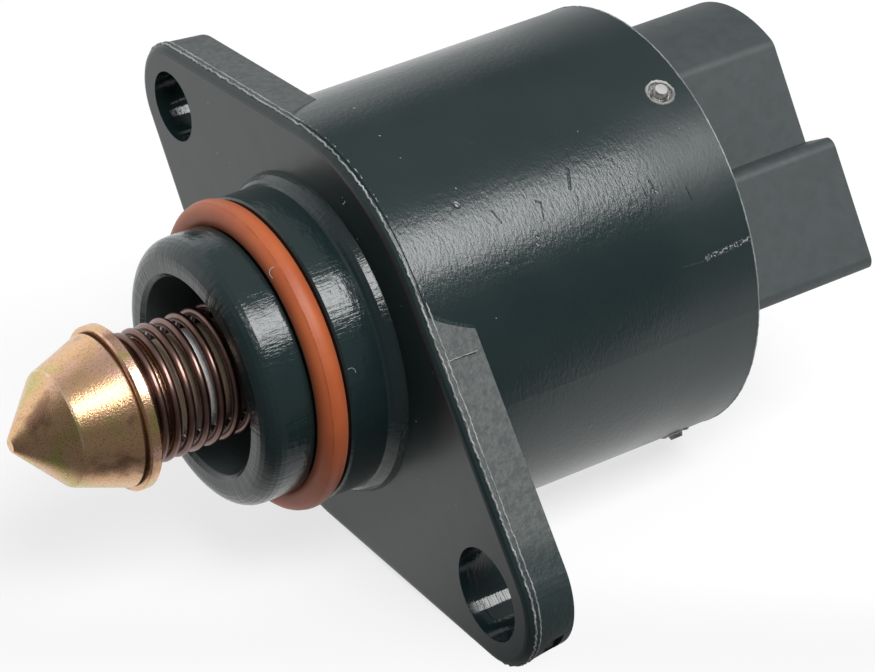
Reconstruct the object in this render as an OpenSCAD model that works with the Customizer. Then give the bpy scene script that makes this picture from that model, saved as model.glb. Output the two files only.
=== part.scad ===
// Stepper idle air control valve.
// X runs along the valve, towards the pintle tip, and Z is up.
// The origin is on the axis, in the flange's mounting face. The valve lies on
// its round body and on the long straight side of its flange.

/* [Body] */
// Diameter of the round motor body
body_d = 36; // [34:0.5:38]
// Length from the mounting face to the rear rim
body_len = 30.1; // [29.5:0.1:31]
// Wall of the motor body round its chamber
body_wall = 2.15; // [2:0.05:2.4]

/* [Flange] */
// Thickness of the flange
flange_t = 4.3; // [4:0.1:5]
// Draft of the flange edge, front to back
flange_draft = 0.35; // [0:0.05:0.5]
// Radius of the rounded front edge
flange_edge = 0.7; // [0.4:0.1:0.9]
// Reach from the axis to the large screw hole
big_hole_reach = 26.4; // [25:0.1:28]
// Diameter of the large screw hole
big_hole_d = 7.8; // [6:0.1:8]
// Radius of the large lobe
big_lobe_r = 6; // [5.6:0.1:7]
// Reach from the axis to the small screw hole
small_hole_reach = 24; // [23:0.1:26]
// Diameter of the small screw hole
small_hole_d = 6; // [5:0.1:6.5]
// Radius of the small lobe
small_lobe_r = 5.2; // [4.8:0.1:6]

/* [Nose] */
// Diameter of the locating boss behind the seal ring
boss_d = 25.2; // [24.6:0.1:26]
// Length of the boss from the mounting face
boss_len = 4.6; // [4:0.1:5]
// Diameter of the nose
nose_d = 22.2; // [21.8:0.1:22.6]
// Length of the nose from the mounting face
nose_len = 11.3; // [10.8:0.1:12]
// Bore of the nose
nose_bore_d = 16.4; // [16:0.1:17]
// Thickness of the seal ring's cord
seal_cord = 2.4; // [2.2:0.1:2.5]

/* [Pintle] */
// Reach of the pintle tip from the mounting face, fully out
tip_reach = 27.6; // [27:0.1:28]
// Diameter of the pintle collar
collar_d = 13.5; // [12.5:0.1:14]
// Travel of the pintle
travel = 8; // [6:0.5:8]
// Lead of the screw, one turn of the rotor
lead = 1; // [0.5:0.5:1]

/* [Spring] */
// Outer diameter of the spring
spring_d = 10.8; // [10.6:0.1:11]
// Wire diameter
wire_d = 0.6; // [0.5:0.05:0.7]
// Pitch of the open turns
spring_pitch = 1.4; // [1.3:0.05:1.6]

/* [Connector] */
// Angle of the connector's keyed side from the flange's long axis
plug_angle = 58; // [50:1:70]
// Length of the shroud behind the rear rim
shroud_len = 12; // [11:0.5:14]
// Wall of the shroud
shroud_wall = 1.7; // [1.4:0.1:2]
// Spacing of the terminals
terminal_pitch = 3.96; // [3.5:0.01:4.2]

/* [Hidden] */
$fn = 96;

body_r = body_d / 2;
chamber_r = body_r - body_wall;
// The flange's long axis leans so that its straight side lies level.
flange_turn = -asin((body_r - big_lobe_r) / big_hole_reach);
plug_turn = flange_turn + plug_angle;

// Seal ring and its groove
groove_r = 10.45;
groove_w = 2.55;
ring_mid_x = boss_len + seal_cord / 2 + 0.04;
ring_mid_r = groove_r + seal_cord / 2 + 0.02;

// Bearing between the nose and the motor
bearing_r = nose_bore_d / 2 - 0.2;
bearing_w = 3.7;
bearing_x = -0.9;
race_inner_r = 4;
ball_r = 0.95;
ball_circle_r = (race_inner_r + bearing_r) / 2;
ball_count = 9;

// Pintle, measured back from its tip
shoulder_x = tip_reach - 3.9;
collar_x = tip_reach - 8.55;
collar_t = 1.05;
collar_back_x = collar_x - collar_t;
skirt_x = collar_back_x - 2.8;
cavity_x = tip_reach - 4.3;
shoulder_r = 4.8;
skirt_r = 4.6;
skirt_bore_r = 4.1;

// Guide tube in the nose, just short of the pintle when that is fully in
seat_x = 0.6;
guide_flange_t = 1.2;
guide_r = 3.9;
guide_end_x = cavity_x - travel - 0.3;
guide_ring_x = guide_end_x - 4.1;
guide_ring_w = 1.2;

// Stator: two coil units, back to back, in front of the rear cover
stator_x = bearing_x - bearing_w;
cover_depth = 5.1;
plug_back_x = -body_len + 0.2;
plug_x = plug_back_x + cover_depth;
unit_len = (stator_x - plug_x) / 2;
stator_r = chamber_r - 0.05;
stator_bore_r = 8;
sheet_t = 0.8;
claw_count = 6;
bobbin_r = stator_r - 1.1;
winding_r = stator_r - 1.9;
coil_r = stator_bore_r + sheet_t + 0.7;

// Lead screw, clear of the rotor's closed end when it is fully in
screw_r = 2.5;
flat_half = 2;
thread_end_x = plug_x + 0.3 + travel;
thread_start_x = -2;
play = 0.06;

// Rotor
magnet_r = stator_bore_r - 0.4;
magnet_front_x = stator_x - 1.4;
magnet_back_x = plug_x + 1.4;
hub_r = magnet_r - 2.6;
nut_r = screw_r + 1.4;
nut_x = plug_x + 6.8;
nut_len = 8;

// Rear cover
plug_r = chamber_r - 0.05;
pin_x = -body_len + 2.4;
pin_r = 0.7;
pin_foot_r = plug_r - 2.6;
seal_x = plug_back_x + 0.75;
bush_x = plug_x - 0.8;
bush_len = 3.3;
bush_r = 4.5;
journal_r = 3;

// Connector shroud, in its own directions: a across, b along its height
shroud_mid_a = 1.5;
shroud_half_a = 9;
shroud_low_b = -9.9;
shroud_arc_r = 11;
shroud_arc_b = 3.7;
key_a = 14.6;
key_low_b = -9.6;
key_high_b = 1.5;
leg_a = plug_r - 6.2;
blade_w = 1.5;
blade_t = 0.8;

// Stands a shape that was drawn upright along the valve, from x on
module on_axis(x = 0) {
    translate([x, 0, 0]) rotate([90, 0, 90]) children();
}

// Turned part: points are [x, radius]
module turned(points) {
    on_axis() rotate_extrude() polygon([for (p = points) [p[1], p[0]]]);
}

// Points of an arc round [u, v]
function arc(u, v, r, from, to, steps) = [
    for (i = [0 : steps])
        let (t = from + (to - from) * i / steps)
        [u + r * cos(t), v + r * sin(t)]
];

// Turns a shape round the valve
module around(angle) {
    rotate([angle, 0, 0]) children();
}

// Round disc of the flange with its front edge rounded over
module flange_disc(r) {
    e = flange_edge;
    rotate_extrude($fn = 72) polygon(concat(
        [[0, -flange_t], [r - flange_draft, -flange_t]],
        [for (i = [0 : 4]) [r - e + e * cos(22.5 * i), -e + e * sin(22.5 * i)]],
        [[0, 0]]
    ));
}

module flange() {
    around(flange_turn) on_axis() hull() {
        flange_disc(body_r - 0.05);
        translate([big_hole_reach, 0, 0]) flange_disc(big_lobe_r);
        translate([-small_hole_reach, 0, 0]) flange_disc(small_lobe_r);
    }
}

module nose() {
    turned(concat(
        [[-1, 0], [-1, boss_d / 2 + 0.6], [0, boss_d / 2 + 0.8]],
        [[0.6, boss_d / 2 + 0.62], [1, boss_d / 2 + 0.35], [1.2, boss_d / 2 + 0.1]],
        [[1.4, boss_d / 2], [boss_len - 0.15, boss_d / 2]],
        [[boss_len, boss_d / 2 - 0.15], [boss_len, groove_r]],
        [[boss_len + groove_w, groove_r], [boss_len + groove_w, nose_d / 2]],
        arc(nose_len - 1.7, nose_d / 2 - 1.7, 1.7, 90, 0, 6),
        [[nose_len, 0]]
    ));
}

module housing() {
    color("#202624") difference() {
        union() {
            flange();
            on_axis(-body_len) cylinder(r = body_r, h = body_len - flange_edge - 0.1);
            nose();
        }
        // Nose bore with its small lead-in
        on_axis(seat_x) cylinder(d = nose_bore_d, h = nose_len);
        on_axis(nose_len - 0.4) cylinder(d1 = nose_bore_d - 0.1, d2 = nose_bore_d + 0.9, h = 0.5);
        // Passage and bearing pocket
        on_axis(-2) cylinder(r = 6.5, h = 4);
        on_axis(stator_x - 1) cylinder(r = bearing_r + 0.01, h = bearing_w + 1);
        // Motor chamber
        on_axis(-body_len - 1) cylinder(r = chamber_r, h = body_len + 1 + stator_x);
        on_axis(-body_len - 0.1) cylinder(r1 = chamber_r + 0.5, r2 = chamber_r - 0.1, h = 0.6);
        // Screw holes
        around(flange_turn) {
            translate([0, big_hole_reach, 0]) on_axis(-flange_t - 1)
                cylinder(d = big_hole_d, h = flange_t + 2);
            translate([0, -small_hole_reach, 0]) on_axis(-flange_t - 1)
                cylinder(d = small_hole_d, h = flange_t + 2);
            // Gate recess in the end of the large lobe
            translate([-3.55, big_hole_reach + big_lobe_r - 0.8, -2.2]) cube([1.7, 3, 2.7]);
        }
        // Holes and swaged craters of the cover pins
        for (i = [0 : 2]) around(pin_angle(i)) translate([pin_at(i), 0, 0]) rotate([-90, 0, 0]) {
            cylinder(r = pin_r + 0.02, h = body_r + 1);
            translate([0, 0, body_r - 0.45]) cylinder(r1 = 0.85, r2 = 1.3, h = 0.6);
        }
    }
}

module nose_o_ring() {
    color("#b0522a") on_axis(ring_mid_x) rotate_extrude()
        translate([ring_mid_r, 0]) circle(d = seal_cord, $fn = 48);
}

module pintle_head() {
    color("#b99a58") turned(concat(
        [[tip_reach, 0], [tip_reach, 0.55], [tip_reach - 0.25, 0.85]],
        [[shoulder_x + 0.1, shoulder_r - 0.1], [shoulder_x - 0.1, shoulder_r]],
        [[collar_x + 0.3, 6.3], [collar_x + 0.3, 6.05], [collar_x, 6.05]],
        [[collar_x, collar_d / 2 - 0.15], [collar_x - 0.15, collar_d / 2]],
        [[collar_back_x + 0.15, collar_d / 2], [collar_back_x, collar_d / 2 - 0.15]],
        [[collar_back_x, skirt_r], [skirt_x, skirt_r], [skirt_x, skirt_bore_r]],
        [[cavity_x, skirt_bore_r], [cavity_x, 1.6], [tip_reach - 2.2, 1.6], [tip_reach - 2.2, 0]]
    ));
}

module lead_screw() {
    turns = floor((thread_start_x - thread_end_x) / lead);
    color("#8d9193") {
        difference() {
            turned([
                [tip_reach - 2.2, 0], [tip_reach - 2.2, 1.6], [cavity_x, 1.6],
                [cavity_x, screw_r], [thread_start_x, screw_r], [thread_start_x, 0]
            ]);
            for (side = [0, 180]) rotate([side, 0, 0])
                translate([thread_start_x - 1, -4, flat_half])
                cube([cavity_x - thread_start_x + 0.7, 8, 4]);
        }
        // Rolled thread, as crests and roots
        turned(concat(
            [[thread_start_x, 0], [thread_start_x, screw_r - 0.5]],
            [for (i = [0 : turns - 1], c = [0, 1])
                [thread_start_x - lead * (i + 0.25 + c * 0.5), screw_r - 0.5 * c]],
            [[thread_end_x, screw_r - 0.5], [thread_end_x, 0]]
        ));
    }
}

// Spring wire centre at turn t, in valve directions
function wire_x(t, open, shut) =
    t < shut ? t * wire_d * 1.03
    : t < shut + open ? shut * wire_d * 1.03 + (t - shut) * spring_pitch
    : shut * wire_d * 1.03 + open * spring_pitch + (t - shut - open) * wire_d * 1.03;

module pintle_spring() {
    sides = 8;
    per_turn = 22;
    shut = 1;
    base_x = seat_x + guide_flange_t + wire_d / 2 + 0.02;
    span = collar_back_x - 0.04 - wire_d / 2 - base_x;
    open = (span - 2 * shut * wire_d * 1.03) / spring_pitch;
    steps = ceil((open + 2 * shut) * per_turn);
    mid_r = (spring_d - wire_d) / 2;
    points = [
        for (i = [0 : steps], k = [0 : sides - 1])
            let (
                t = (open + 2 * shut) * i / steps,
                a = 360 * t + 200,
                w = 360 * k / sides,
                r = mid_r + wire_d / 2 * cos(w)
            )
            [base_x + wire_x(t, open, shut) + wire_d / 2 * sin(w), r * cos(a), r * sin(a)]
    ];
    faces = concat(
        [for (i = [0 : steps - 1], k = [0 : sides - 1])
            let (n = (k + 1) % sides)
            [i * sides + k, i * sides + n, (i + 1) * sides + n, (i + 1) * sides + k]],
        [[for (k = [sides - 1 : -1 : 0]) k]],
        [[for (k = [0 : sides - 1]) steps * sides + k]]
    );
    color("#6b4a42") polyhedron(points, faces, convexity = 12);
}

// Round bar with two flats, for the guide's bore
module flatted(r, half, h) {
    intersection() {
        cylinder(r = r, h = h);
        translate([-r - 1, -half, 0]) cube([2 * r + 2, 2 * half, h]);
    }
}

module guide_tube() {
    color("#7d6a55") difference() {
        turned([
            [seat_x, 0], [seat_x, nose_bore_d / 2 - 0.03],
            [seat_x + guide_flange_t, nose_bore_d / 2 - 0.03],
            [seat_x + guide_flange_t, guide_r],
            [guide_ring_x, guide_r], [guide_ring_x, guide_r - 0.4],
            [guide_ring_x + guide_ring_w, guide_r - 0.4], [guide_ring_x + guide_ring_w, guide_r],
            [guide_end_x - 0.3, guide_r], [guide_end_x, guide_r - 0.3], [guide_end_x, 0]
        ]);
        on_axis(seat_x - 1) flatted(screw_r + play, flat_half + play, guide_end_x - seat_x + 2);
    }
}

module guide_ring() {
    color("#e4e0dc") turned([
        [guide_ring_x, guide_r - 0.4], [guide_ring_x, guide_r + 0.05],
        [guide_ring_x + guide_ring_w, guide_r + 0.05], [guide_ring_x + guide_ring_w, guide_r - 0.4]
    ]);
}

module race(inner, outer) {
    difference() {
        on_axis(bearing_x - bearing_w) difference() {
            cylinder(r = outer, h = bearing_w);
            translate([0, 0, -1]) cylinder(r = inner, h = bearing_w + 2);
        }
        on_axis(bearing_x - bearing_w / 2) rotate_extrude()
            translate([ball_circle_r, 0]) circle(r = ball_r + 0.03, $fn = 48);
    }
}

module bearing_outer_race() {
    color("#9aa0a4") race(ball_circle_r + 0.65, bearing_r);
}

module bearing_inner_race() {
    color("#9aa0a4") race(race_inner_r, ball_circle_r - 0.65);
}

module bearing_balls() {
    color("#c3c8cc") for (i = [0 : ball_count - 1]) around(360 * i / ball_count)
        translate([bearing_x - bearing_w / 2, ball_circle_r, 0]) sphere(r = ball_r, $fn = 32);
}

module bearing_cage() {
    color("#b08a4a") difference() {
        on_axis(bearing_x - bearing_w / 2 - 1.25) difference() {
            cylinder(r = ball_circle_r + 0.5, h = 2.5);
            translate([0, 0, -1]) cylinder(r = ball_circle_r - 0.5, h = 5);
        }
        for (i = [0 : ball_count - 1]) around(360 * i / ball_count)
            translate([bearing_x - bearing_w / 2, ball_circle_r, 0]) sphere(r = ball_r + 0.04, $fn = 32);
    }
}

module rotor_hub() {
    color("#3a3d3a") difference() {
        turned([
            [bearing_x, 0], [bearing_x, race_inner_r - 0.01],
            [stator_x, race_inner_r - 0.01], [stator_x, 5.2], [stator_x - 0.5, 5.2],
            [stator_x - 0.5, 5.9], [magnet_front_x, 5.9], [magnet_front_x, hub_r],
            [magnet_back_x, hub_r], [magnet_back_x, bush_r - 0.3],
            [plug_x - 0.4, bush_r - 0.3], [plug_x - 0.4, journal_r],
            [bush_x - bush_len + 0.3, journal_r], [bush_x - bush_len + 0.3, 0]
        ]);
        on_axis(plug_x + 0.1) cylinder(r = screw_r + 0.4, h = 1 - plug_x);
        on_axis(nut_x) cylinder(r = nut_r, h = nut_len);
    }
}

module rotor_nut() {
    color("#b8923f") on_axis(nut_x) difference() {
        cylinder(r = nut_r, h = nut_len);
        translate([0, 0, -1]) cylinder(r = screw_r + play, h = nut_len + 2);
    }
}

module rotor_magnet() {
    color("#4a4d52") on_axis(magnet_back_x) difference() {
        cylinder(r = magnet_r, h = magnet_front_x - magnet_back_x);
        translate([0, 0, -1]) cylinder(r = hub_r + 0.01, h = magnet_front_x - magnet_back_x + 2);
    }
}

// Six claws bent from a plate: they stand on it and narrow to their tips
module claws(length, base_w, tip_w) {
    intersection() {
        difference() {
            cylinder(r = stator_bore_r + sheet_t, h = length);
            translate([0, 0, -1]) cylinder(r = stator_bore_r, h = length + 2);
        }
        for (i = [0 : claw_count - 1]) rotate(360 * i / claw_count)
            rotate([90, 0, 90]) linear_extrude(stator_bore_r + 4) polygon([
                [-base_w / 2, -1], [base_w / 2, -1], [base_w / 2, 0.3],
                [tip_w / 2, length], [-tip_w / 2, length], [-base_w / 2, 0.3]
            ]);
    }
}

module cup_shape() {
    difference() {
        cylinder(r = stator_r, h = unit_len);
        translate([0, 0, sheet_t]) cylinder(r = stator_r - 1, h = unit_len);
        translate([0, 0, -1]) cylinder(r = stator_bore_r + sheet_t, h = unit_len);
    }
    difference() {
        cylinder(r = stator_bore_r + sheet_t + 0.01, h = sheet_t);
        translate([0, 0, -1]) cylinder(r = stator_bore_r, h = 3);
    }
    translate([0, 0, sheet_t - 0.01]) claws(unit_len - 2 * sheet_t - 0.7, 3.2, 1.8);
}

module plate_shape() {
    difference() {
        cylinder(r = stator_r - 1.02, h = sheet_t);
        translate([0, 0, -1]) cylinder(r = stator_bore_r, h = 3);
    }
    translate([0, 0, sheet_t - 0.01]) claws(unit_len - 2 * sheet_t - 0.7, 3.2, 1.8);
}

module bobbin_shape() {
    h = unit_len - 2 * sheet_t - 0.04;
    rotate_extrude() polygon([
        [coil_r - 0.64, 0], [bobbin_r, 0], [bobbin_r, 0.7], [coil_r, 0.7],
        [coil_r, h - 0.7], [bobbin_r, h - 0.7], [bobbin_r, h], [coil_r - 0.64, h]
    ]);
}

module winding_shape() {
    h = unit_len - 2 * sheet_t - 0.04 - 1.4;
    rotate_extrude() translate([coil_r + 0.01, 0.01]) square([winding_r - coil_r - 0.01, h - 0.02]);
}

// Front unit opens to the rear, the rear unit is its mirror image
module front_unit(z) {
    on_axis(stator_x) mirror([0, 0, 1]) translate([0, 0, z]) children();
}

module rear_unit(z) {
    on_axis(plug_x) rotate(7.5) translate([0, 0, z]) children();
}

module front_stator_cup() {
    color("#8b8f90") front_unit(0) cup_shape();
}

module front_claw_plate() {
    color("#8b8f90") front_unit(unit_len) rotate(30) mirror([0, 0, 1]) plate_shape();
}

module front_bobbin() {
    color("#d8d2c0") front_unit(sheet_t + 0.02) bobbin_shape();
}

module front_winding() {
    color("#b5622d") front_unit(sheet_t + 0.72) winding_shape();
}

module rear_stator_cup() {
    color("#8b8f90") rear_unit(0) cup_shape();
}

module rear_claw_plate() {
    color("#8b8f90") rear_unit(unit_len) rotate(30) mirror([0, 0, 1]) plate_shape();
}

module rear_bobbin() {
    color("#d8d2c0") rear_unit(sheet_t + 0.02) bobbin_shape();
}

module rear_winding() {
    color("#b5622d") rear_unit(sheet_t + 0.72) winding_shape();
}

module rear_bush() {
    color("#a5793f") on_axis(bush_x - bush_len) difference() {
        cylinder(r = bush_r, h = bush_len);
        translate([0, 0, -1]) cylinder(r = journal_r + 0.04, h = bush_len + 2);
    }
}

module thrust_washer() {
    color("#aeb3b6") on_axis(bush_x) difference() {
        cylinder(r = bush_r - 0.1, h = 0.3);
        translate([0, 0, -1]) cylinder(r = journal_r + 0.05, h = 3);
    }
}

module cover_seal() {
    color("#141414") on_axis(seal_x) rotate_extrude()
        translate([plug_r - 0.42, 0]) circle(r = 0.44, $fn = 32);
}

// Directions of the connector: local x is across it, local y along its height
module plugwise(x) {
    around(plug_turn) on_axis(x) children();
}

// Outline of the shroud, moved in by inset, with the arched end at the top
module shroud_outline(inset) {
    lo = shroud_low_b + inset;
    half = shroud_half_a - inset;
    r = shroud_arc_r - inset;
    c = 1.6 - inset / 3;
    e = 1.2 - inset / 3;
    lean = acos((half - e) / (r - e));
    top = shroud_arc_b + (r - e) * sin(lean);
    translate([shroud_mid_a, 0]) polygon(concat(
        arc(half - c, lo + c, c, -90, 0, 6),
        arc(half - e, top, e, 0, lean, 5),
        arc(0, shroud_arc_b, r, lean + 3, 177 - lean, 30),
        arc(e - half, top, e, 180 - lean, 180, 5),
        arc(c - half, lo + c, c, 180, 270, 6)
    ));
}

// Outline of the keyed rib on the side of the shroud
module key_outline(inset) {
    lo = key_low_b + inset;
    hi = key_high_b - inset;
    a = key_a - inset;
    c = 0.9;
    translate([4, lo]) square([a - 4 - c, hi - lo]);
    translate([a - c - 0.01, lo + c]) square([c + 0.01, hi - lo - 2 * c]);
    for (b = [lo + c, hi - c]) translate([a - c, b]) circle(r = c);
}

// Terminal i: a blade in the socket, a cross leg and a leg to the coils
module terminal_shape(i) {
    b = 2.4 + (i - 2.5) * terminal_pitch;
    end_x = -body_len - shroud_len + 1.8;
    bend_x = -body_len - 1.2;
    plugwise(0) translate([0, b, 0]) {
        translate([shroud_mid_a - blade_t / 2, -blade_w / 2, end_x + 0.6])
            cube([blade_t, blade_w, bend_x + blade_t - end_x - 0.6]);
        translate([shroud_mid_a - blade_t / 4, -blade_w / 4, end_x])
            cube([blade_t / 2, blade_w / 2, 0.61]);
        translate([shroud_mid_a - blade_t / 2, -blade_w / 2, bend_x])
            cube([leg_a - shroud_mid_a + blade_t, blade_w, blade_t]);
        translate([leg_a - blade_t / 2, -blade_w / 2, bend_x])
            cube([blade_t, blade_w, plug_x - bend_x - 0.1]);
    }
}

module rear_cover() {
    color("#4a4f4c") difference() {
        union() {
            on_axis(plug_back_x) cylinder(r = plug_r, h = plug_x - plug_back_x);
            plugwise(-body_len - shroud_len) linear_extrude(shroud_len) {
                shroud_outline(0);
                key_outline(0);
            }
            // The shroud runs on into the plug, inside the rear rim
            plugwise(-body_len - 0.01) linear_extrude(1) intersection() {
                union() {
                    shroud_outline(0);
                    key_outline(0);
                }
                circle(r = plug_r - 0.1);
            }
        }
        // Room for the rotor's end, the bush and the seal ring
        on_axis(bush_x) cylinder(r = plug_r - 3, h = cover_depth);
        on_axis(bush_x - bush_len) cylinder(r = bush_r, h = bush_len + 1);
        on_axis(seal_x - 0.45) difference() {
            cylinder(r = plug_r + 1, h = 0.9);
            translate([0, 0, -1]) cylinder(r = plug_r - 0.88, h = 3);
        }
        // Socket with its keyway
        plugwise(-body_len - shroud_len - 1) linear_extrude(shroud_len - 1.2) {
            shroud_outline(shroud_wall);
            translate([4, -6.6]) square([key_a - 1.4 - 4, 5.2]);
        }
        for (i = [1 : 4]) terminal_shape(i);
        for (i = [0 : 2]) around(pin_angle(i)) translate([pin_at(i), 0, 0]) rotate([-90, 0, 0])
            translate([0, 0, pin_foot_r]) cylinder(r = pin_r, h = 5);
    }
}

module terminal_1() {
    color("#b9bcc0") terminal_shape(1);
}

module terminal_2() {
    color("#b9bcc0") terminal_shape(2);
}

module terminal_3() {
    color("#b9bcc0") terminal_shape(3);
}

module terminal_4() {
    color("#b9bcc0") terminal_shape(4);
}

// The first pin stands square to the long axis, the others near the lobes
function pin_angle(i) = flange_turn + [90, 204, -24][i];
function pin_at(i) = pin_x + [0, 0, 1.15][i];

module cover_pin(i) {
    color("#c4c6c8") around(pin_angle(i)) translate([pin_at(i), 0, 0]) rotate([-90, 0, 0]) {
        translate([0, 0, pin_foot_r]) cylinder(r = pin_r, h = body_r - pin_foot_r - 0.1);
        translate([0, 0, body_r - 0.11]) cylinder(r1 = pin_r, r2 = pin_r - 0.2, h = 0.55);
    }
}

module cover_pin_1() {
    cover_pin(0);
}

module cover_pin_2() {
    cover_pin(1);
}

module cover_pin_3() {
    cover_pin(2);
}

housing();
nose_o_ring();
pintle_head();
lead_screw();
pintle_spring();
guide_tube();
guide_ring();
bearing_outer_race();
bearing_inner_race();
bearing_balls();
bearing_cage();
rotor_hub();
rotor_nut();
rotor_magnet();
front_stator_cup();
front_claw_plate();
front_bobbin();
front_winding();
rear_stator_cup();
rear_claw_plate();
rear_bobbin();
rear_winding();
rear_bush();
thrust_washer();
cover_seal();
rear_cover();
terminal_1();
terminal_2();
terminal_3();
terminal_4();
cover_pin_1();
cover_pin_2();
cover_pin_3();
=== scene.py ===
"""Looks of a stepper idle air control valve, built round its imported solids."""

import math

import bpy
from mathutils import Matrix, Vector


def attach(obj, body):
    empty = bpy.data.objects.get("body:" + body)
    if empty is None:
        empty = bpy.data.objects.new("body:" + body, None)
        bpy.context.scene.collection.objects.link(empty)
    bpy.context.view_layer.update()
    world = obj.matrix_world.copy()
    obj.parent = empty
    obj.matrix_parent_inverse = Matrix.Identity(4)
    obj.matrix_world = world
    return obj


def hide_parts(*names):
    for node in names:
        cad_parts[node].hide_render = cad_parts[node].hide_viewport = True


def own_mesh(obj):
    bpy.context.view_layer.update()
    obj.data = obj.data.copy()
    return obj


bl_info = {
    "name": "Idle Air Control Valve",
    "version": (1, 0, 0),
    "blender": (4, 5, 0),
    "location": "View3D > Sidebar > Valve",
    "description": "Dresses an idle air control valve: mouldings, spring, seal ring and zinc pintle",
    "category": "Object",
}

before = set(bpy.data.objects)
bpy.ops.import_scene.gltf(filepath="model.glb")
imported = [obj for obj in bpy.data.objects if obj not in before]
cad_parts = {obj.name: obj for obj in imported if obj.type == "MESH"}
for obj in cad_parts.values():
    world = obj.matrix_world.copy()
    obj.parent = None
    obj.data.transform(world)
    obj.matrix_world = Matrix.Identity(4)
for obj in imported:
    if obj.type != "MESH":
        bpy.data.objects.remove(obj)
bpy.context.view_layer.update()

MM = 0.001

# Sizes are in millimetres and angles in radians. X runs along the valve from its mounting face,
# and a radius is measured from its axis.
BODY_RADIUS = 18.0
BODY_FRONT_X = -0.72
BODY_SKIN_RADIUS = 17.0
REAR_RIM_X = -30.1
REAR_LINE_INSET = 0.02
REAR_FADE = (-20.0, -26.5)
FACE_CLEARANCE = 0.05
NOSE_RIM_X = 11.3
NOSE_RIM_RADIUS = 9.80
NOSE_LINE_INSET = 0.12
NOSE_LINE_DEGREES = (66, 124)
NOSE_BORE_RADIUS = 8.26
GROOVE_RING_X = 5.84
GROOVE_RING_RADIUS = 11.67
SEAL_LINE_ANGLE = 0.5
SPRING_SEAT_X = 1.8
SPRING_END_X = 17.96
SPRING_SEAT_GAP = 0.02
COLLAR_GROOVE = (18.98, 19.40)
COLLAR_GROOVE_FADE = (19.10, 19.24)
COLLAR_GROOVE_RADIUS = 6.32
CONE_BREAK_X = 23.7
LIP_RADIUS = 1.10
LIP_SINK = 0.02
CRATER_RADIUS = 1.20

# The flange is the outline round three discs: centre along its long axis, radius
FLANGE_DISCS = ((0.0, 17.95), (26.4, 6.0), (-24.0, 5.2))
# It is turned so that its large end and the body rest on one level
FLANGE_TURN = -math.asin((BODY_RADIUS - FLANGE_DISCS[1][1]) / FLANGE_DISCS[1][0])
OUTLINE_STEP = 0.35
# Its side lies between these places along the valve and outside this radius. Its chalk grey
# fades out between the two radii, which paints shade on the flange's end.
FLANGE_SIDE = (-4.36, -0.45)
FLANGE_SIDE_RADIUS = 18.06
END_SHADE_FADE = (26.3, 28.8)
# Its two mould lines: mm along, inset of the outline
FRONT_LINE = (-0.52, 0.02)
SIDE_LINE = (-0.98, 0.03)
# The tick on its side: mm along, length, place along and over the long axis
TICK = (-0.95, 2.7, 13.2, 13.43)
# Its screw holes: centre along its long axis, radius
SCREW_HOLES = ((FLANGE_DISCS[1][0], 4.0), (FLANGE_DISCS[2][0], 3.1))

# Pins: turn from the flange's long axis in degrees, place along the valve
PINS = ((90.0, -27.7), (204.0, -27.7), (-24.0, -26.55))

# Floor, in metres. It darkens from one distance to the other on the way to its front, down to
# a share of its colour, and there it glows for the eye alone.
FLOOR_SIDE = 3.2
FLOOR_GAP = 0.00002
FLOOR_FRONT = (0.6, 0.8)
FLOOR_FADE = (0.005, 0.026)
FLOOR_FRONT_COLOUR = 0.09
FLOOR_FRONT_GLOW = 0.97

# Room's light: all round, more overhead, more behind the valve, and its white to the eye
ROOM_ALL_ROUND = 0.16
ROOM_OVERHEAD = 0.32
ROOM_BEHIND = 0.60
ROOM_SEEN = 0.96
ROOM_TINT = (0.97, 0.985, 1.0, 1)

# Camera at the photograph's viewpoint, in metres
CAMERA_PLACE = (0.14027, 0.24565, 0.17597)
CAMERA_RIGHT = (-0.8378, 0.5446, -0.0384)
CAMERA_UP = (-0.3166, -0.4273, 0.8469)
CAMERA_LENS = 172.8

# Nicks in the motor body: start and end as (mm along, degrees round), width in mm
BODY_NICKS = (
    ((-9.13, 48.4), (-9.42, 45.0), 0.06),
    ((-12.94, 46.9), (-13.26, 46.3), 0.07),
    ((-13.24, 46.0), (-12.90, 41.9), 0.05),
    ((-16.75, 51.8), (-16.12, 47.0), 0.09),
    ((-22.82, 41.9), (-22.90, 40.4), 0.08),
    ((-22.05, 40.8), (-22.10, 38.4), 0.05),
    ((-25.68, 37.6), (-25.84, 34.0), 0.05),
    ((-10.41, 68.5), (-11.07, 66.4), 0.04),
    ((-16.42, 44.6), (-15.40, 35.0), 0.03),
    ((-23.40, 18.7), (-25.40, 18.3), 0.04),
)

# Bright grains stuck in the body's skin: mm along, degrees round, size in mm
BODY_GRAINS = (
    (-6.64, 53.1, 0.15), (-7.33, 57.1, 0.06), (-11.81, 38.7, 0.09), (-11.59, 37.1, 0.08),
    (-8.58, 35.4, 0.07), (-23.06, 39.1, 0.09), (-12.30, 39.0, 0.05), (-4.70, 79.6, 0.08),
    (-5.20, 94.2, 0.09), (-4.80, 70.5, 0.06), (-19.30, 60.5, 0.05), (-27.40, 52.0, 0.05),
    (-20.95, 48.1, 0.06), (-21.35, 47.0, 0.05), (-21.60, 45.6, 0.06),
)

# Depth of a nick and height of a grain, in metres for each millimetre of its width
NICK_DEPTH = 3.4e-4
GRAIN_HEIGHT = 3e-4

# Whitish scuff near the rear rim: start and end as (mm along, degrees round)
SCUFF = ((-25.7, 18.7), (-29.9, 19.5))

# Fibres: piece, its path, start in mm, length in mm, turn on the surface in radians
FIBRES = (
    ("lint_ring", "lint", (7.4, 6.8, 10.9), 1.3, 1.0),
    ("lint_boss", "fibre", (4.4, 11.9, 4.15), 0.9, 2.6),
    ("lint_face", "thread", (0.06, 5.0, 14.7), 0.9, 4.0),
)
FIBRE_RADIUS = 0.000035
FIBRE_CURL = 2.2
PATH_STEPS = 12

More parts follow.
